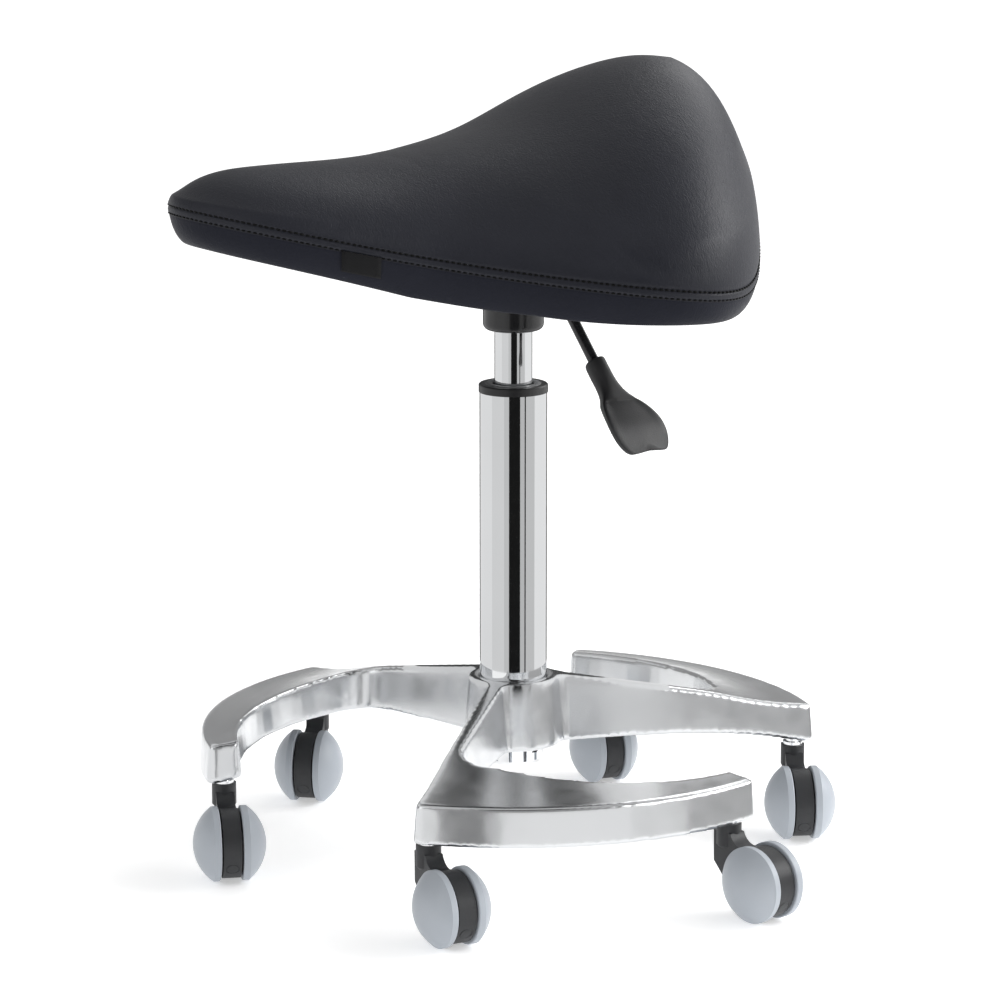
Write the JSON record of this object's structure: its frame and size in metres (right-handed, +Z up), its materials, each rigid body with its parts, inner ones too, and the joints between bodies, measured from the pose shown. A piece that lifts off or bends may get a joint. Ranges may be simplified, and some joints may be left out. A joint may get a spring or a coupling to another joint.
{
  "type": "saddle stool",
  "caption": "Saddle-shaped padded stool on a gas-lift column, with a hooked aluminium base on twin-wheel castors and a side lever for height.",
  "frame": {"origin": "on the floor, on the axis of the column", "axes": "+Z up, the seat's nose towards -Y, the height lever towards +X"},
  "size_m": [0.5011, 0.5008, 0.5928],
  "materials": {
    "aluminium": "satin polished",
    "chrome": "mirror",
    "steel": "satin",
    "black_steel": "semi-gloss black",
    "black_plastic": "fine texture",
    "grey_plastic": "plain",
    "rubber": "plain",
    "castor_black": "fine texture",
    "castor_grey": "smooth blue-grey",
    "leatherette": "fine wrinkle grain",
    "foam": "moulded foam",
    "shell": "moulded board",
    "tag": "woven, plain"
  },
  "bodies": {
    "base": {"base_casting": "aluminium", "column_tube": "chrome", "column_collar": "black_plastic", "guide_bush": "grey_plastic", "castor_stems": "chrome"},
    "rod": {"piston_rod": "steel", "retaining_clip": "steel", "bearing_washer": "steel", "rubber_bumper": "rubber", "gas_piston": "steel"},
    "seat": {"pressure_tube": "chrome", "tube_end_guide": "black_plastic", "mechanism_sleeve": "black_steel", "mechanism_channel": "black_steel", "mechanism_plate": "black_steel", "mechanism_bolts": "steel", "tee_nuts": "steel", "lever_pin": "steel", "mounting_posts": "shell", "seat_shell": "shell", "seat_foam": "foam", "seat_cover": "leatherette", "cover_tag": "tag"},
    "lever": {"lever_rod": "black_steel", "lever_paddle": "black_plastic"},
    "button": {"release_button": "steel"},
    "castor_1": {"castor_1_housing": "castor_black", "castor_1_axle": "steel"},
    "wheel_1_left": {"castor_1_wheel_left": "castor_grey"},
    "wheel_1_right": {"castor_1_wheel_right": "castor_grey"},
    "castor_2": {"castor_2_housing": "castor_black", "castor_2_axle": "steel"},
    "wheel_2_left": {"castor_2_wheel_left": "castor_grey"},
    "wheel_2_right": {"castor_2_wheel_right": "castor_grey"},
    "castor_3": {"castor_3_housing": "castor_black", "castor_3_axle": "steel"},
    "wheel_3_left": {"castor_3_wheel_left": "castor_grey"},
    "wheel_3_right": {"castor_3_wheel_right": "castor_grey"},
    "castor_4": {"castor_4_housing": "castor_black", "castor_4_axle": "steel"},
    "wheel_4_left": {"castor_4_wheel_left": "castor_grey"},
    "wheel_4_right": {"castor_4_wheel_right": "castor_grey"},
    "castor_5": {"castor_5_housing": "castor_black", "castor_5_axle": "steel"},
    "wheel_5_left": {"castor_5_wheel_left": "castor_grey"},
    "wheel_5_right": {"castor_5_wheel_right": "castor_grey"},
    "castor_6": {"castor_6_housing": "castor_black", "castor_6_axle": "steel"},
    "wheel_6_left": {"castor_6_wheel_left": "castor_grey"},
    "wheel_6_right": {"castor_6_wheel_right": "castor_grey"}
  },
  "joints": [
    {"name": "seat_swivel", "type": "hinge", "parent": "base", "child": "rod", "pos_m": [0, 0, 0.07], "axis": [0, 0, 1], "continuous": true},
    {"name": "seat_lift", "type": "slide", "parent": "rod", "child": "seat", "axis": [0, 0, 1], "range_m": [0, 0.18]},
    {"name": "lever_tilt", "type": "hinge", "parent": "seat", "child": "lever", "pos_m": [0.02348, 0.00499, 0.438], "axis": [0.2079, -0.9781, 0], "range_deg": [0, 5], "stiffness_Nm_per_rad": 2, "springref_deg": -4.58},
    {"name": "button_press", "type": "slide", "parent": "seat", "child": "button", "axis": [0, 0, -1], "range_m": [0, 0.0026], "stiffness_N_per_m": 200, "springref_m": -0.001},
    {"name": "castor_1_swivel", "type": "hinge", "parent": "base", "child": "castor_1", "pos_m": [-0.05173, -0.21383, 0.064], "axis": [0, 0, 1], "continuous": true},
    {"name": "wheel_1_left_spin", "type": "hinge", "parent": "castor_1", "child": "wheel_1_left", "pos_m": [-0.01848, -0.22476, 0.0275], "axis": [0.3123, 0.95, 0], "continuous": true},
    {"name": "wheel_1_right_spin", "type": "hinge", "parent": "castor_1", "child": "wheel_1_right", "pos_m": [-0.01848, -0.22476, 0.0275], "axis": [0.3123, 0.95, 0], "continuous": true},
    {"name": "castor_2_swivel", "type": "hinge", "parent": "base", "child": "castor_2", "pos_m": [-0.21105, -0.06211, 0.064], "axis": [0, 0, 1], "continuous": true},
    {"name": "wheel_2_left_spin", "type": "hinge", "parent": "castor_2", "child": "wheel_2_left", "pos_m": [-0.18306, -0.08313, 0.0275], "axis": [0.6004, 0.7997, 0], "continuous": true},
    {"name": "wheel_2_right_spin", "type": "hinge", "parent": "castor_2", "child": "wheel_2_right", "pos_m": [-0.18306, -0.08313, 0.0275], "axis": [0.6004, 0.7997, 0], "continuous": true},
    {"name": "castor_3_swivel", "type": "hinge", "parent": "base", "child": "castor_3", "pos_m": [0.15932, -0.15172, 0.064], "axis": [0, 0, 1], "continuous": true},
    {"name": "wheel_3_left_spin", "type": "hinge", "parent": "castor_3", "child": "wheel_3_left", "pos_m": [0.19432, -0.15172, 0.0275], "axis": [0, 1, 0], "continuous": true},
    {"name": "wheel_3_right_spin", "type": "hinge", "parent": "castor_3", "child": "wheel_3_right", "pos_m": [0.19432, -0.15172, 0.0275], "axis": [0, 1, 0], "continuous": true},
    {"name": "castor_4_swivel", "type": "hinge", "parent": "base", "child": "castor_4", "pos_m": [0.21105, 0.06211, 0.064], "axis": [0, 0, 1], "continuous": true},
    {"name": "wheel_4_left_spin", "type": "hinge", "parent": "castor_4", "child": "wheel_4_left", "pos_m": [0.24522, 0.06969, 0.0275], "axis": [-0.2164, 0.9763, 0], "continuous": true},
    {"name": "wheel_4_right_spin", "type": "hinge", "parent": "castor_4", "child": "wheel_4_right", "pos_m": [0.24522, 0.06969, 0.0275], "axis": [-0.2164, 0.9763, 0], "continuous": true},
    {"name": "castor_5_swivel", "type": "hinge", "parent": "base", "child": "castor_5", "pos_m": [0.05173, 0.21383, 0.064], "axis": [0, 0, 1], "continuous": true},
    {"name": "wheel_5_left_spin", "type": "hinge", "parent": "castor_5", "child": "wheel_5_left", "pos_m": [0.08418, 0.20072, 0.0275], "axis": [0.3746, 0.9272, 0], "continuous": true},
    {"name": "wheel_5_right_spin", "type": "hinge", "parent": "castor_5", "child": "wheel_5_right", "pos_m": [0.08418, 0.20072, 0.0275], "axis": [0.3746, 0.9272, 0], "continuous": true},
    {"name": "castor_6_swivel", "type": "hinge", "parent": "base", "child": "castor_6", "pos_m": [-0.15932, 0.15172, 0.064], "axis": [0, 0, 1], "continuous": true},
    {"name": "wheel_6_left_spin", "type": "hinge", "parent": "castor_6", "child": "wheel_6_left", "pos_m": [-0.12457, 0.14751, 0.0275], "axis": [0.1201, 0.9928, 0], "continuous": true},
    {"name": "wheel_6_right_spin", "type": "hinge", "parent": "castor_6", "child": "wheel_6_right", "pos_m": [-0.12457, 0.14751, 0.0275], "axis": [0.1201, 0.9928, 0], "continuous": true}
  ],
  "couplings": [
    {"joint": "button_press", "follows": "lever_tilt", "m_per_rad": 0.028}
  ]
}
